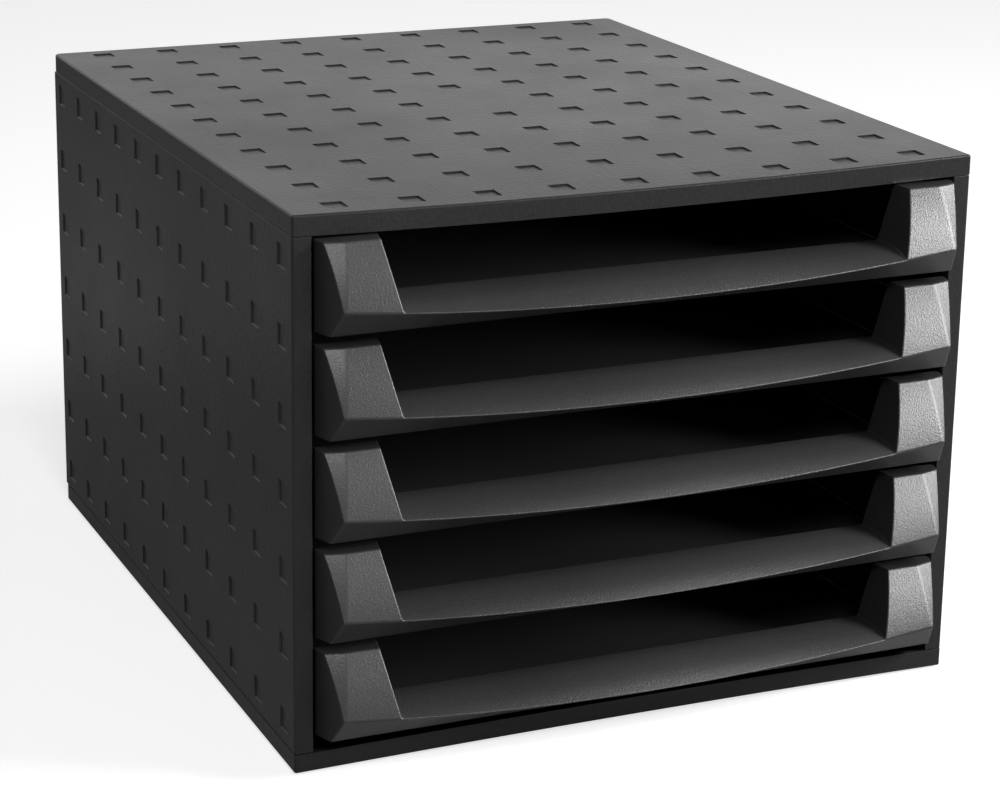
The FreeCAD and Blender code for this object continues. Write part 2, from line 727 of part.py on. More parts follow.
def make_lower_drawer(top_drawer, level):
    """Another drawer of the same moulding, lower down in the casing."""
    name = f"drawer_{level}"
    drawer = doc.addObject("Part::Compound", name)
    drawer.Label = name
    drawer.Links = [top_drawer]
    bind(drawer, "Placement.Base.z", f"-{PITCH} * {level - 1}")
    return drawer


# ---------------------------------------------------------------- assembly

def make_pieces():
    left = make_side_panel()
    right = doc.addObject("Part::Mirroring", "side_panel_right")
    right.Label = "side_panel_right"
    right.Source = left
    right.Normal = (1, 0, 0)
    pieces = [make_lid(), make_base(), left, right, make_back_panel()]
    pieces += [make_foot(side, end, name) for side, end, name in FEET]
    top_drawer = make_drawer()
    pieces.append(top_drawer)
    for level in range(2, int(number("drawer_count")) + 1):
        pieces.append(make_lower_drawer(top_drawer, level))
    return pieces


def check_document():
    for thing in doc.Objects:
        if "Invalid" in thing.State or "Error" in thing.State:
            raise RuntimeError(f"{thing.Label} did not build: {thing.State}")


def export_pieces(pieces):
    for piece in pieces:
        shape = piece.Shape
        if shape.isNull() or not shape.isValid():
            raise RuntimeError(f"{piece.Label} has no valid shape")
        if len(shape.Solids) != 1:
            raise RuntimeError(f"{piece.Label} has {len(shape.Solids)} solids")
    os.makedirs("parts", exist_ok=True)
    for piece in pieces:
        piece.Shape.exportStep(f"parts/{piece.Label}.step")
        box = piece.Shape.BoundBox
        extent = f"{box.XLength:.1f} x {box.YLength:.1f} x {box.ZLength:.1f} mm"
        print(f"{piece.Label}: {extent}, {piece.Shape.Volume / 1000:.1f} cm3")


PIECES = make_pieces()
doc.recompute()
check_document()
export_pieces(PIECES)
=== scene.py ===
import json
import math

import bmesh
import bpy
from bpy.props import FloatProperty, FloatVectorProperty, PointerProperty
from mathutils import Matrix, Vector


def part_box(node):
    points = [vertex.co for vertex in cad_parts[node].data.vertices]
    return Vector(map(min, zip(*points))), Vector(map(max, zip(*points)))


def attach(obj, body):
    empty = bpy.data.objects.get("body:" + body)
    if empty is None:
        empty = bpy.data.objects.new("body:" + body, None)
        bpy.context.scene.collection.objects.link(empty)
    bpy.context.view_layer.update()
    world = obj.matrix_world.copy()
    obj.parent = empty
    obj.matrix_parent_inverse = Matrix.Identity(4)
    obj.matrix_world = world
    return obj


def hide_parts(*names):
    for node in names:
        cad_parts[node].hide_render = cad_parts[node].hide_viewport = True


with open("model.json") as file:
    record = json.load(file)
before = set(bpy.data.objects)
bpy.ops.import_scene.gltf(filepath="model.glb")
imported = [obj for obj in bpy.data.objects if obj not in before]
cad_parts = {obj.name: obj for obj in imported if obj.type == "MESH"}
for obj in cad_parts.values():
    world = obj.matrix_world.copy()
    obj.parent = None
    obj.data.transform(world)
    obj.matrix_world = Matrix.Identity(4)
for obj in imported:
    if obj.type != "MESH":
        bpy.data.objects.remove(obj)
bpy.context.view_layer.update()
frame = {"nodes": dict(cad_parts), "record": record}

bl_info = {
    "name": "Desk drawer module",
    "version": (1, 0, 0),
    "blender": (4, 5, 0),
    "location": "3D View > Sidebar > Drawer module",
    "description": "Finishes a desk drawer module: moulded casing, sliding drawers, foot pads and a studio",
    "category": "Object",
}

MM = 0.001

# ---------------------------------------------------------------- places read from the frame

LID_LOW, LID_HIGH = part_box("lid")
DRAWER_LOW, DRAWER_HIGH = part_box("drawer_1")
CASING_FRONT = LID_LOW.y
DRAWERS = sorted(name for name in frame["nodes"] if name.startswith("drawer_"))
PANELS = ("lid", "base", "side_panel_left", "side_panel_right", "back_panel")
FEET = sorted(name for name in frame["nodes"] if name.startswith("foot_"))


def body_of(node):
    """The body that a node rides on."""
    for body, members in frame["record"]["behaviour"]["bodies"].items():
        if node in members:
            return body
    raise RuntimeError(f"{node} is on no body")


# ---------------------------------------------------------------- settings

class CasingSettings(bpy.types.PropertyGroup):
    """Sizes and colours of the casing's mouldings."""

    edge_round: FloatProperty(
        name="Edge rounding", description="Rounding of the mouldings' edges",
        default=0.35 * MM, unit="LENGTH", precision=5,
    )
    lid_bow: FloatProperty(
        name="Lid bow", description="How far the lid's front edge sags in the middle",
        default=1.9 * MM, unit="LENGTH", precision=5,
    )
    base_bow: FloatProperty(
        name="Base bow", description="How far the base's front edge rises in the middle",
        default=1.1 * MM, unit="LENGTH", precision=5,
    )
    # edges painted pale: partly real wear, partly a painted highlight along the edges
    edge_wear_and_highlight: FloatProperty(
        name="Edge wear", description="How much the edges are rubbed pale", default=0.12, min=0, max=1,
    )
    colour: FloatVectorProperty(
        name="Plastic", description="Colour of the casing's plastic",
        default=(0.015, 0.015, 0.0153), size=3, subtype="COLOR", min=0, max=1,
    )
    roughness: FloatProperty(
        name="Roughness", description="Roughness of the plastic's gloss", default=0.36, min=0, max=1,
    )
    grain_pitch: FloatProperty(
        name="Grain pitch", description="Grains of the moulded texture in a metre", default=700,
    )
    grain_strength: FloatProperty(
        name="Grain strength", description="Strength of the moulded texture", default=1.0, min=0, max=1,
    )


class DrawerSettings(bpy.types.PropertyGroup):
    """Sizes and colours of the drawers' fronts."""

    half_width: FloatProperty(
        name="Half width", description="From the middle of a front to its side",
        default=133.4 * MM, unit="LENGTH", precision=5,
    )
    front_height: FloatProperty(
        name="Front height", description="Height of a drawer's front",
        default=DRAWER_HIGH.z - DRAWER_LOW.z, unit="LENGTH", precision=5,
    )
    front_wall: FloatProperty(
        name="Front wall", description="How far a front reaches behind the casing's front plane",
        default=2.5 * MM, unit="LENGTH", precision=5,
    )
    lip_reach: FloatProperty(
        name="Lip reach", description="How far the lip's middle stands in front of the casing",
        default=CASING_FRONT - DRAWER_LOW.y, unit="LENGTH", precision=5,
    )
    lip_end_reach: FloatProperty(
        name="Lip end reach", description="How far the lip's line stands out at the drawer's sides",
        default=15 * MM, unit="LENGTH", precision=5,
    )
    lip_rise: FloatProperty(
        name="Lip rise", description="From the bottom of the front up to the lip's middle",
        default=4.4 * MM, unit="LENGTH", precision=5,
    )
    lip_end_rise: FloatProperty(
        name="Lip end rise", description="From the bottom of the front up to the lip's line at the sides",
        default=11.2 * MM, unit="LENGTH", precision=5,
    )
    foot_reach: FloatProperty(
        name="Bottom reach", description="How far the bottom edge stands in front of the casing",
        default=7.8 * MM, unit="LENGTH", precision=5,
    )
    brow_reach: FloatProperty(
        name="Brow reach", description="How far a grip block's top edge stands in front of the casing",
        default=6.4 * MM, unit="LENGTH", precision=5,
    )
    face_radius: FloatProperty(
        name="Face radius", description="Radius of a grip block's crowned face",
        default=115 * MM, unit="LENGTH", precision=5,
    )
    ramp_rise: FloatProperty(
        name="Ramp rise", description="From the bottom of the front up to the top of the sloping lip",
        default=12.9 * MM, unit="LENGTH", precision=5,
    )
    block_width: FloatProperty(
        name="Block width", description="Width of a grip block's top, along the casing's front plane",
        default=24.4 * MM, unit="LENGTH", precision=5,
    )
    block_lean: FloatProperty(
        name="Block lean", description="Slope of a grip block's inner side against upright", default=0.287,
    )
    block_flare: FloatProperty(
        name="Block flare", description="Slope of a grip block's inner side against the depth", default=0.206,
    )
    cheek_slope: FloatProperty(
        name="Cheek slope", description="Slope of the front's outer side against the depth", default=0.37,
    )
    soft_line_top: FloatProperty(
        name="Soft line, top", description="Where the outer band starts at a block's top edge",
        default=124.0 * MM, unit="LENGTH", precision=5,
    )
    soft_line_low: FloatProperty(
        name="Soft line, low", description="Where the outer band starts at the lip's line",
        default=126.95 * MM, unit="LENGTH", precision=5,
    )
    band_turn: FloatProperty(
        name="Band turn", description="How fast the outer band turns back, against its width", default=0.25,
    )
    hollow_depth: FloatProperty(
        name="Hollow depth", description="Depth of the hollow inside a front",
        default=4.4 * MM, unit="LENGTH", precision=5,
    )
    hollow_skin: FloatProperty(
        name="Hollow skin", description="Skin left over the hollow",
        default=3 * MM, unit="LENGTH", precision=5,
    )
    tray_edge: FloatProperty(
        name="Tray edges", description="Rounding of the tray's edges",
        default=0.35 * MM, unit="LENGTH", precision=5,
    )
    # edges painted pale: partly real wear, partly a painted highlight along the lip and grip edges
    edge_wear_and_highlight: FloatProperty(
        name="Edge wear", description="How much the edges are rubbed pale", default=0.7, min=0, max=1,
    )
    colour: FloatVectorProperty(
        name="Plastic", description="Colour of the drawers' plastic",
        default=(0.015, 0.015, 0.0153), size=3, subtype="COLOR", min=0, max=1,
    )
    roughness: FloatProperty(
        name="Roughness", description="Roughness of the plastic's gloss", default=0.33, min=0, max=1,
    )
    grain_pitch: FloatProperty(
        name="Grain pitch", description="Grains of the moulded texture in a metre", default=1500,
    )
    grain_strength: FloatProperty(
        name="Grain strength", description="Strength of the moulded texture", default=0.5, min=0, max=1,
    )


class StageSettings(bpy.types.PropertyGroup):
    """Settings of the camera, the lamps and the floor."""

    focal_length: FloatProperty(
        name="Focal length", description="Camera's focal length in millimetres",
        default=99.24, min=20, max=300,
    )
    lamp_share: FloatProperty(
        name="Lamps", description="Share of the lamps' full power", default=1, min=0, max=4,
    )
    floor_colour: FloatVectorProperty(
        name="Floor", description="Colour of the paper floor",
        default=(0.45, 0.45, 0.45), size=3, subtype="COLOR", min=0, max=1,
    )


# ---------------------------------------------------------------- mesh helpers

WELD = 0.001 * MM
FLAT = math.radians(0.4)
SHARP = math.radians(25)
EDGE_SEGMENTS = 2


def mesh_of(shape, name):
    """Turn a bmesh into a mesh and free it."""
    mesh = bpy.data.meshes.new(name)
    shape.to_mesh(mesh)
    shape.free()
    return mesh


def finished(mesh, name, material, smooth=True):
    """Put a mesh into the scene as an object with its material and shading."""
    piece = bpy.data.objects.new(name, mesh)
    bpy.context.scene.collection.objects.link(piece)
    mesh.materials.append(material)
    for face in mesh.polygons:
        face.use_smooth = smooth
    return piece


def take_place(node, mesh, material):
    """Put a finished moulding in the place of a node, on the same body."""
    piece = finished(mesh, f"{node}_moulding", material)
    # the large flat faces set the shading at their edges
    weights = piece.modifiers.new("normals", "WEIGHTED_NORMAL")
    weights.weight = 100
    weights.keep_sharp = True
    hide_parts(node)
    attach(piece, body_of(node))


def surroundings(faces):
    """The faces with their edges and corners, as the cutting operators take them."""
    # a dict lists each once, in the order of the faces
    edges = dict.fromkeys(edge for face in faces for edge in face.edges)
    verts = dict.fromkeys(vert for face in faces for vert in face.verts)
    return [*faces, *edges, *verts]


def welded_copy(node):
    """A node's mesh as a bmesh with merged corners and whole flat faces."""
    shape = bmesh.new()
    shape.from_mesh(frame["nodes"][node].data)
    bmesh.ops.remove_doubles(shape, verts=shape.verts, dist=WELD)
    bmesh.ops.dissolve_limit(shape, angle_limit=FLAT, verts=shape.verts, edges=shape.edges)
    return shape


def sharp_edges(shape):
    """The edges at which a shape turns sharply."""
    return [edge for edge in shape.edges if edge.is_manifold and edge.calc_face_angle() > SHARP]


def round_edges(shape, edges, width):
    """Round edges by a width."""
    bmesh.ops.bevel(
        shape, geom=edges, offset=width, offset_type="OFFSET", segments=EDGE_SEGMENTS,
        profile=0.5, affect="EDGES", clamp_overlap=True, material=-1,
    )


# ---------------------------------------------------------------- casing

BOW_REACH = 95 * MM
BOW_SPANS = 10
BOW_ROWS = 4
BOW_FADE = 1.3


def bowed_front(shape, depth):
    """Bow the front of a lid or base in the middle, as such mouldings warp when they cool."""
    half = LID_HIGH.x
    spans = [half * 2 * (step / BOW_SPANS - 0.5) for step in range(1, BOW_SPANS)]
    rows = [CASING_FRONT + BOW_REACH * step / BOW_ROWS for step in range(1, BOW_ROWS + 1)]
    cuts = [((x, 0, 0), (1, 0, 0)) for x in spans] + [((0, y, 0), (0, 1, 0)) for y in rows]
    for point, normal in cuts:
        bmesh.ops.bisect_plane(
            shape, geom=surroundings(shape.faces), dist=WELD, plane_co=point, plane_no=normal,
        )
    for vert in shape.verts:
        share = min(max(1 - (vert.co.y - CASING_FRONT) / BOW_REACH, 0), 1)
        vert.co.z += depth * (1 - (vert.co.x / half) ** 2) * share ** BOW_FADE


def panel_mesh(node, edge_round, bow):
    """A casing moulding: the node's shape with rounded edges, and bowed at its front."""
    shape = welded_copy(node)
    round_edges(shape, sharp_edges(shape), edge_round)
    if bow:
        bowed_front(shape, bow)
    return mesh_of(shape, node)


# ---------------------------------------------------------------- drawer front

STRIPS = ("top", "face", "undercut", "bottom", "back", "shelf", "ramp", "cheek", "wall", "band")
# rounding of the edge between two strips, in millimetres
EDGE_WIDTHS = {
    ("top", "face"): 1.0, ("top", "band"): 1.0, ("top", "wall"): 0.7, ("top", "cheek"): 0.7,
    ("face", "wall"): 0.7, ("band", "cheek"): 0.5, ("face", "undercut"): 1.3, ("band", "undercut"): 1.1,
    ("cheek", "undercut"): 0.8, ("cheek", "bottom"): 0.9, ("undercut", "bottom"): 0.9,
    ("face", "band"): 1.2, ("ramp", "wall"): 1.1, ("wall", "shelf"): 1.1, ("ramp", "undercut"): 0.8,
    ("back", "shelf"): 0.5, ("back", "top"): 0.5, ("back", "wall"): 0.5, ("back", "bottom"): 0.0,
}
WIDEST = 1.5
ROUND_SEGMENTS = 4
# a bar's side from corner 1 to corner 2 is divided into rows
CURVED = 1
FACE_ROWS = 8
# corners are numbered round the bar, so only its closing side spans more than this
CLOSING_SPAN = 1.5
SLACK = 0.001
# where a front is divided along its half width, in shares of the last step
STEPS = (0, 1, 2, 3, 4, 5, 6, 9)
BAND_MARGIN = 5 * MM
MIDDLE_MARGIN = 0.1 * MM
BLOCK_WELD = 0.02 * MM
DOWNWARD = -0.999
HOLLOW_SETBACK = 0.5 * MM
TRAY_OVERLAP = 0.3 * MM


class FrontShape:
    """Where the lines of a drawer's front run, from its sizes; y and z are in the frame."""

    def __init__(self, sizes):
        self.sizes = sizes
        self.top = DRAWER_HIGH.z
        self.bottom = DRAWER_HIGH.z - sizes.front_height

    def crease(self, x):
        """The lip's line, which runs further forward and lower in the middle."""
        share = (x / self.sizes.half_width) ** 2
        reach = self.sizes.lip_reach + (self.sizes.lip_end_reach - self.sizes.lip_reach) * share
        rise = self.sizes.lip_rise + (self.sizes.lip_end_rise - self.sizes.lip_rise) * share
        return CASING_FRONT - reach, self.bottom + rise

    def on_face(self, x, share):
        """A point of the crowned face, from its top edge to the lip's line."""
        low_y, low_z = self.crease(x)
        high_y, high_z = CASING_FRONT - self.sizes.brow_reach, self.top
        chord = math.hypot(high_y - low_y, high_z - low_z)
        radius = self.sizes.face_radius
        along = (share - 0.5) * chord
        crown = math.sqrt(radius ** 2 - along ** 2) - math.sqrt(radius ** 2 - chord ** 2 / 4)
        ahead = Vector((low_z - high_z, high_y - low_y)) / chord
        return (high_y + (low_y - high_y) * share + crown * ahead.x,
                high_z + (low_z - high_z) * share + crown * ahead.y)

    def on_ramp(self, x, share):
        """A point of the sloping lip, which leaves its top level and bends down to the lip's line."""
        low_y, low_z = self.crease(x)
        run = CASING_FRONT - low_y
        drop = self.bottom + self.sizes.ramp_rise - low_z
        radius = (run ** 2 + drop ** 2) / (2 * drop)
        ahead = run * share
        height = self.bottom + self.sizes.ramp_rise - radius + math.sqrt(radius ** 2 - ahead ** 2)
        return CASING_FRONT - ahead, height

    def soft_line(self, z):
        """Where the face turns into its outer band."""
        low = self.sizes.soft_line_low
        high = self.sizes.soft_line_top
        low_z = self.crease(low)[1]
        return low + (high - low) * (z - low_z) / (self.top - low_z)


def swept_bar(shape, corners, strips, stations):
    """A bar along X from a few corners of its side view, with its curved side in rows."""
    place = shape.verts.layers.float["place"]
    strip = shape.faces.layers.int["strip"]
    old = set(shape.faces)
    verts = [shape.verts.new((stations[0], y, z)) for y, z in corners]
    for number, vert in enumerate(verts):
        vert[place] = number
    face = shape.faces.new(verts)
    ends = {verts[CURVED], verts[CURVED + 1]}
    side = next(edge for edge in face.edges if set(edge.verts) == ends)
    bmesh.ops.subdivide_edges(shape, edges=[side], cuts=FACE_ROWS - 1)
    face = next(f for f in shape.faces if f not in old)
    for before, after in zip(stations, stations[1:]):
        grown = bmesh.ops.extrude_face_region(shape, geom=[face])
        bmesh.ops.delete(shape, geom=[face], context="FACES_ONLY")
        face = next(item for item in grown["geom"] if isinstance(item, bmesh.types.BMFace))
        bmesh.ops.translate(shape, verts=face.verts, vec=(after - before, 0, 0))
    faces = [f for f in shape.faces if f not in old]
    for item in faces:
        numbers = [vert[place] for vert in item.verts]
        if max(numbers) - min(numbers) < CLOSING_SPAN:
            item[strip] = STRIPS.index(strips[int(min(numbers) + SLACK)])
        else:
            item[strip] = STRIPS.index(strips[-1])
    return faces


def on_curve(vert, place):
    """How far along the curved side a corner lies, from 0 to 1, or None off it."""
    share = vert[place] - CURVED
    if -SLACK < share < 1 + SLACK:
        return min(max(share, 0), 1)
    return None


def settle(faces, place, line, nearer_than=math.inf):
    """Put the rows of a bar's curved side on their line."""
    for vert in {vert for face in faces for vert in face.verts}:
        share = on_curve(vert, place)
        if share is not None and abs(vert.co.x) < nearer_than:
            vert.co.y, vert.co.z = line(vert.co.x, share)


def fill_holes(shape, name):
    """Close what the cuts left open, apart from the middle plane."""
    strip = shape.faces.layers.int["strip"]
    rims = []
    for edge in shape.edges:
        if edge.is_boundary and max(abs(vert.co.x) for vert in edge.verts) > MIDDLE_MARGIN:
            rims.append(edge)
    for face in bmesh.ops.holes_fill(shape, edges=rims, sides=0)["faces"]:
        face[strip] = STRIPS.index(name)


def underside(shape, level):
    """The faces that look down at a level."""
    down = [face for face in shape.faces if face.normal.z < DOWNWARD]
    return [face for face in down if abs(face.calc_center_median().z - level) < WELD]


def hollow_underside(shape, sizes):
    """Hollow the grip blocks and the lip from below."""
    level = DRAWER_HIGH.z - sizes.front_height
    near = CASING_FRONT - sizes.hollow_depth + HOLLOW_SETBACK
    far = CASING_FRONT + HOLLOW_SETBACK
    inner = sizes.half_width - sizes.block_width + sizes.hollow_skin
    outer = sizes.half_width - sizes.hollow_skin
    lip_end = inner - 2 * sizes.hollow_skin
    cuts = [((0, y, 0), (0, 1, 0)) for y in (near, far)]
    cuts += [((side * x, 0, 0), (1, 0, 0)) for side in (-1, 1) for x in (lip_end, inner, outer)]
    for point, normal in cuts:
        bmesh.ops.bisect_plane(
            shape, geom=surroundings(underside(shape, level)), dist=WELD,
            plane_co=point, plane_no=normal,
        )
    for left, right, height in (
        (-lip_end, lip_end, sizes.ramp_rise - sizes.hollow_skin),
        (inner, outer, sizes.front_height - sizes.hollow_skin),
        (-outer, -inner, sizes.front_height - sizes.hollow_skin),
    ):
        mouth = []
        for face in underside(shape, level):
            middle = face.calc_center_median()
            if left < middle.x < right and near < middle.y < far:
                mouth.append(face)
        grown = bmesh.ops.extrude_face_region(shape, geom=mouth)["geom"]
        bmesh.ops.delete(shape, geom=[face for face in mouth if face.is_valid], context="FACES")
        corners = [item for item in grown if isinstance(item, bmesh.types.BMVert)]
        bmesh.ops.translate(shape, verts=corners, vec=(0, 0, height))


def front_half(sizes):
    """The right half of a drawer's front: grip block, sloping lip and undercut."""
    lines = FrontShape(sizes)
    shape = bmesh.new()
    place = shape.verts.layers.float.new("place")
    strip = shape.faces.layers.int.new("strip")
    stations = [sizes.half_width * step / STEPS[-1] for step in STEPS]
    wall = CASING_FRONT + sizes.front_wall
    heel = CASING_FRONT - sizes.foot_reach
    ramp_top = lines.bottom + sizes.ramp_rise
    lip = lines.crease(0)
    block = swept_bar(
        shape,
        [(wall, lines.top), (CASING_FRONT - sizes.brow_reach, lines.top), lip, (heel, lines.bottom),
         (wall, lines.bottom), (wall, ramp_top)],
        ("top", "face", "undercut", "bottom", "back", "back"), stations,
    )
    settle(block, place, lines.on_face)
    low = sizes.soft_line_low
    slant = Vector((low - sizes.soft_line_top, 0, lines.crease(low)[1] - lines.top))
    bmesh.ops.bisect_plane(
        shape, geom=surroundings(block), dist=WELD,
        plane_co=(sizes.soft_line_top, 0, lines.top), plane_no=slant.cross(Vector((0, 1, 0))),
    )
    settle(shape.faces, place, lines.on_face)
    for vert in shape.verts:
        if on_curve(vert, place) is not None:
            vert.co.y += sizes.band_turn * max(0, vert.co.x - lines.soft_line(vert.co.z))
    for face in shape.faces:
        middle = face.calc_center_median()
        if face[strip] == STRIPS.index("face") and middle.x > lines.soft_line(middle.z):
            face[strip] = STRIPS.index("band")
    bmesh.ops.bisect_plane(
        shape, geom=surroundings(shape.faces), dist=WELD, clear_outer=True,
        plane_co=(sizes.half_width, CASING_FRONT, 0), plane_no=(1, -sizes.cheek_slope, 0),
    )
    fill_holes(shape, "cheek")
    for face in shape.faces:
        if face.calc_center_median().x > sizes.half_width - WELD:
            face[strip] = STRIPS.index("cheek")
    wall_point = (sizes.half_width - sizes.block_width, CASING_FRONT, lines.top)
    wall_normal = (1, sizes.block_flare, -sizes.block_lean)
    bmesh.ops.bisect_plane(
        shape, geom=surroundings(shape.faces), dist=WELD, clear_inner=True,
        plane_co=wall_point, plane_no=wall_normal,
    )
    settle(shape.faces, place, lines.on_face, nearer_than=lines.soft_line(lines.top) - BAND_MARGIN)
    old = set(shape.faces)
    lip_bar = swept_bar(
        shape,
        [(wall, ramp_top), (CASING_FRONT, ramp_top), lip, (heel, lines.bottom), (wall, lines.bottom)],
        ("shelf", "ramp", "undercut", "bottom", "back"), stations,
    )
    settle(lip_bar, place, lines.on_ramp)
    bmesh.ops.bisect_plane(
        shape, geom=surroundings(lip_bar), dist=WELD, clear_outer=True,
        plane_co=wall_point, plane_no=wall_normal,
    )
    lip_bar = [face for face in shape.faces if face not in old]
    settle(lip_bar, place, lines.on_ramp)
    bmesh.ops.remove_doubles(shape, verts=shape.verts, dist=BLOCK_WELD)
    fill_holes(shape, "wall")
    return shape


def front_mesh(sizes):
    """A whole drawer front with the rounding of each edge as its bevel weight."""
    shape = front_half(sizes)
    bmesh.ops.mirror(shape, geom=surroundings(shape.faces), merge_dist=WELD, axis="X")
    bmesh.ops.remove_doubles(shape, verts=shape.verts, dist=WELD)
    bmesh.ops.recalc_face_normals(shape, faces=shape.faces)
    strip = shape.faces.layers.int["strip"]
    weight = shape.edges.layers.float.new("bevel_weight_edge")
    for edge in shape.edges:
        names = sorted(STRIPS[face[strip]] for face in edge.link_faces)
        if len(names) == 2:
            width = EDGE_WIDTHS.get(tuple(names), EDGE_WIDTHS.get(tuple(reversed(names)), 0))
            edge[weight] = width / WIDEST
    open_edges = [edge for edge in shape.edges if not edge.is_manifold]
    if open_edges:
        raise RuntimeError(f"a drawer front has {len(open_edges)} open edges")
    return mesh_of(shape, "drawer_front")


def rounded(mesh):
    """The mesh with its weighted edges rounded."""
    holder = bpy.data.objects.new("rounding", mesh)
    bpy.context.scene.collection.objects.link(holder)
    bevel = holder.modifiers.new("edges", "BEVEL")
    bevel.limit_method = "WEIGHT"
    bevel.width = WIDEST * MM
    bevel.segments = ROUND_SEGMENTS
    bevel.offset_type = "OFFSET"
    evaluated = holder.evaluated_get(bpy.context.evaluated_depsgraph_get())
    result = bpy.data.meshes.new_from_object(evaluated)
    bpy.data.objects.remove(holder)
    return result


def tray_shape(sizes):
    """The tray behind the front, taken from the drawer's own solid."""
    shape = welded_copy("drawer_1")
    cut = CASING_FRONT + sizes.front_wall
    bmesh.ops.bisect_plane(
        shape, geom=surroundings(shape.faces), dist=WELD, clear_inner=True,
        plane_co=(0, cut, 0), plane_no=(0, 1, 0),
    )
    loose = [face for face in shape.faces if all(abs(vert.co.y - cut) < WELD for vert in face.verts)]
    bmesh.ops.delete(shape, geom=loose, context="FACES")
    rims = [edge for edge in shape.edges if edge.is_boundary]
    bmesh.ops.holes_fill(shape, edges=rims, sides=0)
    bmesh.ops.recalc_face_normals(shape, faces=shape.faces)
    free = []
    for edge in sharp_edges(shape):
        near, far = sorted(vert.co.y for vert in edge.verts)
        if near > cut + WELD or far > cut + MM:
            free.append(edge)
    round_edges(shape, free, sizes.tray_edge)
    for vert in shape.verts:
        if abs(vert.co.y - cut) < WELD:
            vert.co.y -= TRAY_OVERLAP
    return shape


def drawer_mesh(sizes):
    """The top drawer's finished mesh: its front and its tray."""
    front = bmesh.new()
    front.from_mesh(rounded(front_mesh(sizes)))
    hollow_underside(front, sizes)
    shape = tray_shape(sizes)
    shape.from_mesh(mesh_of(front, "front"))
    return mesh_of(shape, "drawer")


# ---------------------------------------------------------------- node trees

class Nodes:
    """A node tree, built step by step."""

    def __init__(self, tree):
        self.tree = tree

    def add(self, kind, **settings):
        """Add a node of a kind with its settings."""
        node = self.tree.nodes.new(kind)
        for name, value in settings.items():
            setattr(node, name, value)
        return node

    def plug(self, socket, value):
        """Link another node's output to a socket, or set the socket's value."""
        if isinstance(value, bpy.types.NodeSocket):
            self.tree.links.new(value, socket)
        else:
            socket.default_value = value

    def feed(self, node, **values):
        """Plug a node's inputs by name; an underscore in a name stands for a space."""
        for name, value in values.items():
            self.plug(node.inputs[name.replace("_", " ")], value)
        return node

    def remap(self, value, low, high, to_low, to_high, interpolation="LINEAR"):
        """Turn a range of values into another range."""
        node = self.feed(
            self.add("ShaderNodeMapRange", clamp=True, interpolation_type=interpolation), Value=value,
            From_Min=low, From_Max=high, To_Min=to_low, To_Max=to_high,
        )
        return node.outputs["Result"]

    def calculate(self, operation, first, second):
        """Work out a sum, product or the like of two values."""
        node = self.add("ShaderNodeMath", operation=operation)
        self.plug(node.inputs[0], first)
        self.plug(node.inputs[1], second)
        return node.outputs["Value"]

    def shown_or_dull(self, shown, dull):
        """Show one shader to the camera and in reflections, and light the rest by the other."""
        rays = self.add("ShaderNodeLightPath").outputs
        share = self.calculate("MAXIMUM", rays["Is Camera Ray"], rays["Is Glossy Ray"])
        share = self.calculate("MAXIMUM", share, rays["Is Transmission Ray"])
        mix = self.feed(self.add("ShaderNodeMixShader"), Fac=share)
        self.plug(mix.inputs[1], dull)
        self.plug(mix.inputs[2], shown)
        return mix.outputs["Shader"]


class Surface(Nodes):
    """A piece's material: one shader, and patterns that stay with the piece."""

    def __init__(self, name, colour):
        self.material = bpy.data.materials.new(name)
        self.material.use_nodes = True
        super().__init__(self.material.node_tree)
        self.shader = self.tree.nodes["Principled BSDF"]
        self.feed(self.shader, Base_Color=(*colour, 1), IOR=REFRACTION)
        self.place = self.add("ShaderNodeTexCoord").outputs["Object"]

    def noise(self, pitch, detail=2.0, roughness=0.5, stretch=None):
        """Noise with so many clouds or grains in a metre."""
        place = self.place
        if stretch is not None:
            mapping = self.feed(self.add("ShaderNodeMapping"), Vector=place, Scale=stretch)
            place = mapping.outputs["Vector"]
        node = self.feed(
            self.add("ShaderNodeTexNoise"), Vector=place, Scale=pitch, Detail=detail, Roughness=roughness,
        )
        return node.outputs["Fac"]

    def blend_colours(self, share, first, second):
        """Blend from the first colour to the second by a share."""
        node = self.feed(self.add("ShaderNodeMix", data_type="RGBA"), Factor=share)
        for name, value in (("A", first), ("B", second)):
            linked = isinstance(value, bpy.types.NodeSocket)
            self.plug(node.inputs[name], value if linked else (*value, 1))
        return node.outputs["Result"]

    def edges(self, radius):
        """Where a surface bends within a radius, from 0 on a flat to 1 on an edge."""
        bend = self.feed(self.add("ShaderNodeBevel", samples=4), Radius=radius)
        flat = self.add("ShaderNodeNewGeometry")
        turned = self.add("ShaderNodeVectorMath", operation="DOT_PRODUCT")
        self.plug(turned.inputs[0], bend.outputs["Normal"])
        self.plug(turned.inputs[1], flat.outputs["Normal"])
        return self.remap(turned.outputs["Value"], NO_BEND, FULL_BEND, 0, 1)

    def grained(self, height, strength, depth):
        """Press a grain into the surface."""
        bump = self.feed(self.add("ShaderNodeBump"), Strength=strength, Distance=depth, Height=height)
        self.feed(self.shader, Normal=bump.outputs["Normal"])


# ---------------------------------------------------------------- materials

# pitches count clouds or grains in a metre, and shades are shares of the plastic's own colour
REFRACTION = 1.36
NO_BEND = 0.995
FULL_BEND = 0.93
CLOUD_PITCH = 11
SPECKLE_SHARE = 0.8
DARK_SHADE = 0.82
PALE_SHADE = 1.2
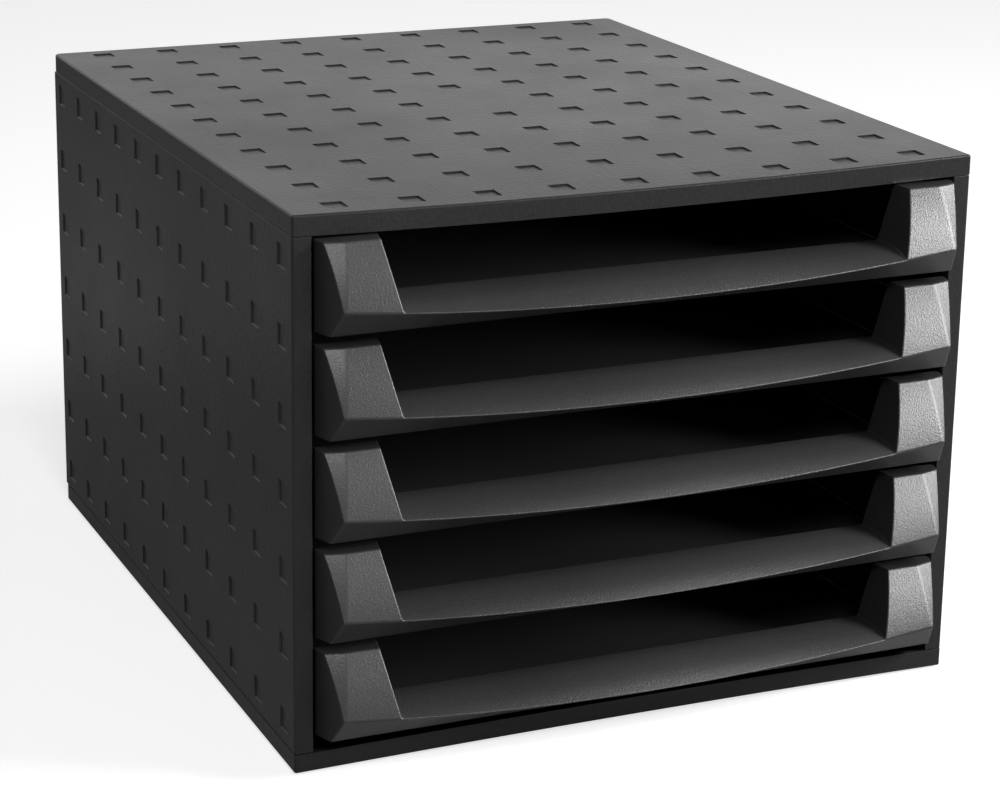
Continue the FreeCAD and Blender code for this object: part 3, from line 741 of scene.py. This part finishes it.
# edges painted pale: partly real rubbed wear, partly a painted highlight along the rounded edges
RUB_AND_HIGHLIGHT_WIDTH = 0.7 * MM
RUB_AND_HIGHLIGHT_PITCH = 60
RUB_AND_HIGHLIGHT_SHADE = 4
RUB_POLISH = 0.1
HANDLING_PITCH = 7
HANDLING_SPREAD = 0.05
SCUFF_PITCH = 300
SCUFF_STRETCH = (1, 0.06, 0.25)
SCUFF_DULLNESS = 0.02
GRAIN_DEPTH = 0.2 * MM
RUBBER_COLOUR = (0.016, 0.016, 0.017)
DUST_PITCH = 90
DUST_SHADE = 2.2
SMEAR_PITCH = 40
SMEAR_GLOSSY = 0.66
SMEAR_DULL = 0.82
RUBBER_PITCH = 2200
RUBBER_STRENGTH = 0.3
RUBBER_DEPTH = 0.1 * MM


def scaled(colour, factor):
    """A colour made darker or paler."""
    return tuple(part * factor for part in colour)


def moulded_plastic(name, sizes):
    """Dark moulded plastic with a spark-eroded grain, faint flow clouds and edges painted pale, partly as
    rubbed wear and partly as a painted highlight.
    """
    nodes = Surface(name, sizes.colour)
    clouds = nodes.noise(CLOUD_PITCH, detail=4)
    speckle = nodes.noise(sizes.grain_pitch * SPECKLE_SHARE, detail=1)
    mottle = nodes.remap(nodes.calculate("ADD", clouds, speckle), 0.7, 1.3, 0, 1)
    tint = nodes.blend_colours(mottle, scaled(sizes.colour, DARK_SHADE), scaled(sizes.colour, PALE_SHADE))
    # painted highlight: the edge mask, broken into patches, lightens the colour along the edges; this is
    # partly real wear and partly a painted highlight
    patches = nodes.remap(nodes.noise(RUB_AND_HIGHLIGHT_PITCH, detail=3), 0.35, 0.7, 0, 1)
    rubbed_and_highlit = nodes.calculate("MULTIPLY", nodes.edges(RUB_AND_HIGHLIGHT_WIDTH), patches)
    worn_and_highlit = nodes.calculate("MULTIPLY", rubbed_and_highlit, sizes.edge_wear_and_highlight)
    tint = nodes.blend_colours(worn_and_highlit, tint, scaled(sizes.colour, RUB_AND_HIGHLIGHT_SHADE))
    handled = nodes.remap(
        nodes.noise(HANDLING_PITCH, detail=5, roughness=0.6), 0.3, 0.7,
        sizes.roughness - HANDLING_SPREAD, sizes.roughness + HANDLING_SPREAD,
    )
    scuffs = nodes.remap(
        nodes.noise(SCUFF_PITCH, detail=2, stretch=SCUFF_STRETCH), 0.66, 0.75, 0, SCUFF_DULLNESS,
    )
    gloss = nodes.calculate(
        "SUBTRACT", nodes.calculate("ADD", handled, scuffs), nodes.calculate("MULTIPLY", rubbed_and_highlit, RUB_POLISH),
    )
    nodes.feed(nodes.shader, Base_Color=tint, Roughness=gloss)
    grain = nodes.noise(sizes.grain_pitch, detail=2, roughness=0.7)
    nodes.grained(grain, sizes.grain_strength, GRAIN_DEPTH)
    return nodes.material


def pad_rubber(name):
    """Soft black rubber of the foot pads."""
    nodes = Surface(name, RUBBER_COLOUR)
    dust = nodes.remap(nodes.noise(DUST_PITCH, detail=4), 0.45, 0.75, 0, 1)
    tint = nodes.blend_colours(dust, RUBBER_COLOUR, scaled(RUBBER_COLOUR, DUST_SHADE))
    gloss = nodes.remap(nodes.noise(SMEAR_PITCH, detail=3), 0.3, 0.7, SMEAR_GLOSSY, SMEAR_DULL)
    nodes.feed(nodes.shader, Base_Color=tint, Roughness=gloss)
    nodes.grained(nodes.noise(RUBBER_PITCH, detail=2), RUBBER_STRENGTH, RUBBER_DEPTH)
    return nodes.material


# ---------------------------------------------------------------- operators

class CasingOperator(bpy.types.Operator):
    """Finish the lid, base, side panels and back panel"""

    bl_idname = "drawer_module.casing"
    bl_label = "Casing"

    def execute(self, context):
        sizes = context.scene.drawer_module_casing
        material = moulded_plastic("casing_plastic", sizes)
        bows = {"lid": -sizes.lid_bow, "base": sizes.base_bow}
        for node in PANELS:
            mesh = panel_mesh(node, sizes.edge_round, bows.get(node, 0))
            take_place(node, mesh, material)
        return {"FINISHED"}


class FeetOperator(bpy.types.Operator):
    """Finish the four foot pads"""

    bl_idname = "drawer_module.feet"
    bl_label = "Foot pads"

    def execute(self, context):
        material = pad_rubber("foot_rubber")
        for node in FEET:
            pad = frame["nodes"][node]
            if not pad.material_slots:
                raise RuntimeError(f"{node} has no material slot")
            for place in pad.material_slots:
                place.material = material
        return {"FINISHED"}


class DrawersOperator(bpy.types.Operator):
    """Finish the sliding drawers"""

    bl_idname = "drawer_module.drawers"
    bl_label = "Drawers"

    def execute(self, context):
        sizes = context.scene.drawer_module_drawers
        material = moulded_plastic("drawer_plastic", sizes)
        top_drawer = drawer_mesh(sizes)
        for node in DRAWERS:
            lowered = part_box(node)[1].z - DRAWER_HIGH.z
            mesh = top_drawer.copy()
            mesh.transform(Matrix.Translation((0, 0, lowered)))
            take_place(node, mesh, material)
        return {"FINISHED"}


class StageOperator(bpy.types.Operator):
    """Set up the floor, the lamps and the camera"""

    bl_idname = "drawer_module.stage"
    bl_label = "Stage"

    def execute(self, context):
        sizes = context.scene.drawer_module_stage
        make_floor(sizes)
        make_world()
        make_lamps(sizes)
        make_camera(sizes)
        return {"FINISHED"}


# ---------------------------------------------------------------- stage

WHITE = (1, 1, 1, 1)
FLOOR_HALF_WIDTH = 6
FLOOR_BOUNCE = (0.2, 0.2, 0.2, 1)
FLOOR_LIFT = 0.72
ROOM_LIGHT = 0.05
# the walls turn into the ceiling between these heights of a unit direction
WALL_TOP = 0.25
CEILING_EDGE = 0.7
WALL_BRIGHTNESS = 1.0
CEILING_BRIGHTNESS = 0.15
# name, azimuth to the right of the front, elevation, distance, width, height, power
LAMPS = (
    ("key", 62, 32, 1.8, 0.6, 0.5, 40),
    ("grips", 46, 15, 1.8, 0.6, 0.6, 64),
    ("front", -14, 38, 1.8, 0.4, 0.4, 14),
    ("left", -65, 32, 1.8, 0.4, 0.4, 1.3),
    ("rim", 148, 8, 2.4, 0.5, 0.3, 0.3),
    ("back", 190, 52, 2.2, 0.8, 0.8, 2),
    ("overhead", 0, 88, 1.6, 1.2, 1.2, 2),
)
LAMP_AIM = Vector((0, -0.05, 0.11))
# this lamp shines on the drawers alone, so that no glare of it lies on the lid
DRAWER_LAMP = "grips"
CAMERA_AZIMUTH = -22.6301
CAMERA_ELEVATION = 15.7899
CAMERA_ROLL = math.radians(0.5454)
CAMERA_DISTANCE = 1.18141
CAMERA_TARGET = Vector((-0.02195, -0.00496, 0.13588))
PICTURE_WIDTH = 1000
PICTURE_HEIGHT = 796
# the pixel that the camera points at, from the picture's top left corner
CENTRE_X = 440.0
CENTRE_Y = 298.0


def outward(azimuth, elevation):
    """The direction out of the object at an azimuth to the right of its front and an elevation."""
    turn, lift = math.radians(azimuth), math.radians(elevation)
    return Vector((math.sin(turn) * math.cos(lift), -math.cos(turn) * math.cos(lift), math.sin(lift)))


def make_floor(sizes):
    """Lay the paper floor."""
    shape = bmesh.new()
    bmesh.ops.create_grid(shape, x_segments=1, y_segments=1, size=FLOOR_HALF_WIDTH)
    finished(mesh_of(shape, "floor"), "floor", floor_paper(sizes.floor_colour), smooth=False)


def floor_paper(colour):
    """White paper that throws only a little light back onto the object."""
    material = bpy.data.materials.new("floor_paper")
    material.use_nodes = True
    nodes = Nodes(material.node_tree)
    nodes.tree.nodes.remove(nodes.tree.nodes["Principled BSDF"])
    paper = nodes.feed(nodes.add("ShaderNodeBsdfDiffuse"), Color=(*colour, 1))
    dull = nodes.feed(nodes.add("ShaderNodeBsdfDiffuse"), Color=FLOOR_BOUNCE)
    surface = nodes.shown_or_dull(paper.outputs["BSDF"], dull.outputs["BSDF"])
    rays = nodes.add("ShaderNodeLightPath").outputs
    lift = nodes.calculate("MULTIPLY", rays["Is Camera Ray"], FLOOR_LIFT)
    glow = nodes.feed(nodes.add("ShaderNodeEmission"), Strength=lift)
    both = nodes.add("ShaderNodeAddShader")
    nodes.plug(both.inputs[0], surface)
    nodes.plug(both.inputs[1], glow.outputs["Emission"])
    nodes.feed(nodes.tree.nodes["Material Output"], Surface=both.outputs["Shader"])
    return material


def make_world():
    """Set up a dim room that looks like white walls under a grey ceiling."""
    world = bpy.data.worlds.new("studio")
    bpy.context.scene.world = world
    world.use_nodes = True
    nodes = Nodes(world.node_tree)
    room = nodes.feed(nodes.tree.nodes["Background"], Color=WHITE, Strength=ROOM_LIGHT)
    way = nodes.add("ShaderNodeTexCoord").outputs["Generated"]
    parts = nodes.feed(nodes.add("ShaderNodeSeparateXYZ"), Vector=way)
    brightness = nodes.remap(
        parts.outputs["Z"], WALL_TOP, CEILING_EDGE, WALL_BRIGHTNESS, CEILING_BRIGHTNESS,
        interpolation="SMOOTHSTEP",
    )
    walls = nodes.feed(nodes.add("ShaderNodeBackground"), Color=WHITE, Strength=brightness)
    surface = nodes.shown_or_dull(walls.outputs["Background"], room.outputs["Background"])
    nodes.feed(nodes.tree.nodes["World Output"], Surface=surface)


def make_lamps(sizes):
    """Hang the lamps round the object."""
    for name, azimuth, elevation, distance, width, height, power in LAMPS:
        way = outward(azimuth, elevation)
        data = bpy.data.lights.new(name, "AREA")
        data.shape = "RECTANGLE"
        data.size = width
        data.size_y = height
        data.energy = power * sizes.lamp_share
        lamp = bpy.data.objects.new(name, data)
        bpy.context.scene.collection.objects.link(lamp)
        lamp.location = LAMP_AIM + way * distance
        lamp.rotation_euler = way.to_track_quat("Z", "Y").to_euler()
        if name == DRAWER_LAMP:
            lit = bpy.data.collections.new("drawers_alone")
            for node in DRAWERS:
                lit.objects.link(bpy.data.objects[f"{node}_moulding"])
            lamp.light_linking.receiver_collection = lit


def make_camera(sizes):
    """Place the camera."""
    data = bpy.data.cameras.new("camera")
    data.sensor_width = 36
    data.lens = sizes.focal_length
    data.shift_x = (PICTURE_WIDTH / 2 - CENTRE_X) / PICTURE_WIDTH
    data.shift_y = (CENTRE_Y - PICTURE_HEIGHT / 2) / PICTURE_WIDTH
    data.clip_start = 0.05
    data.clip_end = 50
    camera = bpy.data.objects.new("camera", data)
    bpy.context.scene.collection.objects.link(camera)
    bpy.context.scene.camera = camera
    back = outward(CAMERA_AZIMUTH, CAMERA_ELEVATION)
    right = (-back).cross(Vector((0, 0, 1))).normalized()
    up = right.cross(-back)
    turned_right = right * math.cos(CAMERA_ROLL) + up * math.sin(CAMERA_ROLL)
    turned_up = up * math.cos(CAMERA_ROLL) - right * math.sin(CAMERA_ROLL)
    axes = Matrix((turned_right, turned_up, back)).transposed()
    camera.matrix_world = Matrix.Translation(CAMERA_TARGET + back * CAMERA_DISTANCE) @ axes.to_4x4()


# ---------------------------------------------------------------- panel and registration

class ModulePanel(bpy.types.Panel):
    """Lists the drawer module's steps and settings"""

    bl_idname = "VIEW3D_PT_drawer_module"
    bl_label = "Drawer module"
    bl_space_type = "VIEW_3D"
    bl_region_type = "UI"
    bl_category = "Drawer module"

    def draw(self, context):
        for operator in OPERATORS:
            self.layout.operator(operator.bl_idname)
        for name, group in SETTINGS.items():
            for setting in group.__annotations__:
                self.layout.prop(getattr(context.scene, name), setting)


SETTINGS = {
    "drawer_module_casing": CasingSettings,
    "drawer_module_drawers": DrawerSettings,
    "drawer_module_stage": StageSettings,
}
OPERATORS = (CasingOperator, FeetOperator, DrawersOperator, StageOperator)


def register():
    for group in SETTINGS.values():
        bpy.utils.register_class(group)
    for operator in OPERATORS:
        bpy.utils.register_class(operator)
    bpy.utils.register_class(ModulePanel)
    for name, group in SETTINGS.items():
        setattr(bpy.types.Scene, name, PointerProperty(type=group))


def unregister():
    for name in SETTINGS:
        delattr(bpy.types.Scene, name)
    bpy.utils.unregister_class(ModulePanel)
    for operator in reversed(OPERATORS):
        bpy.utils.unregister_class(operator)
    for group in reversed(SETTINGS.values()):
        bpy.utils.unregister_class(group)


def main():
    """Build everything in order."""
    register()
    bpy.context.scene.view_settings.view_transform = "Standard"
    bpy.ops.drawer_module.casing()
    bpy.ops.drawer_module.feet()
    bpy.ops.drawer_module.drawers()
    bpy.ops.drawer_module.stage()


if __name__ == "__main__":
    main()
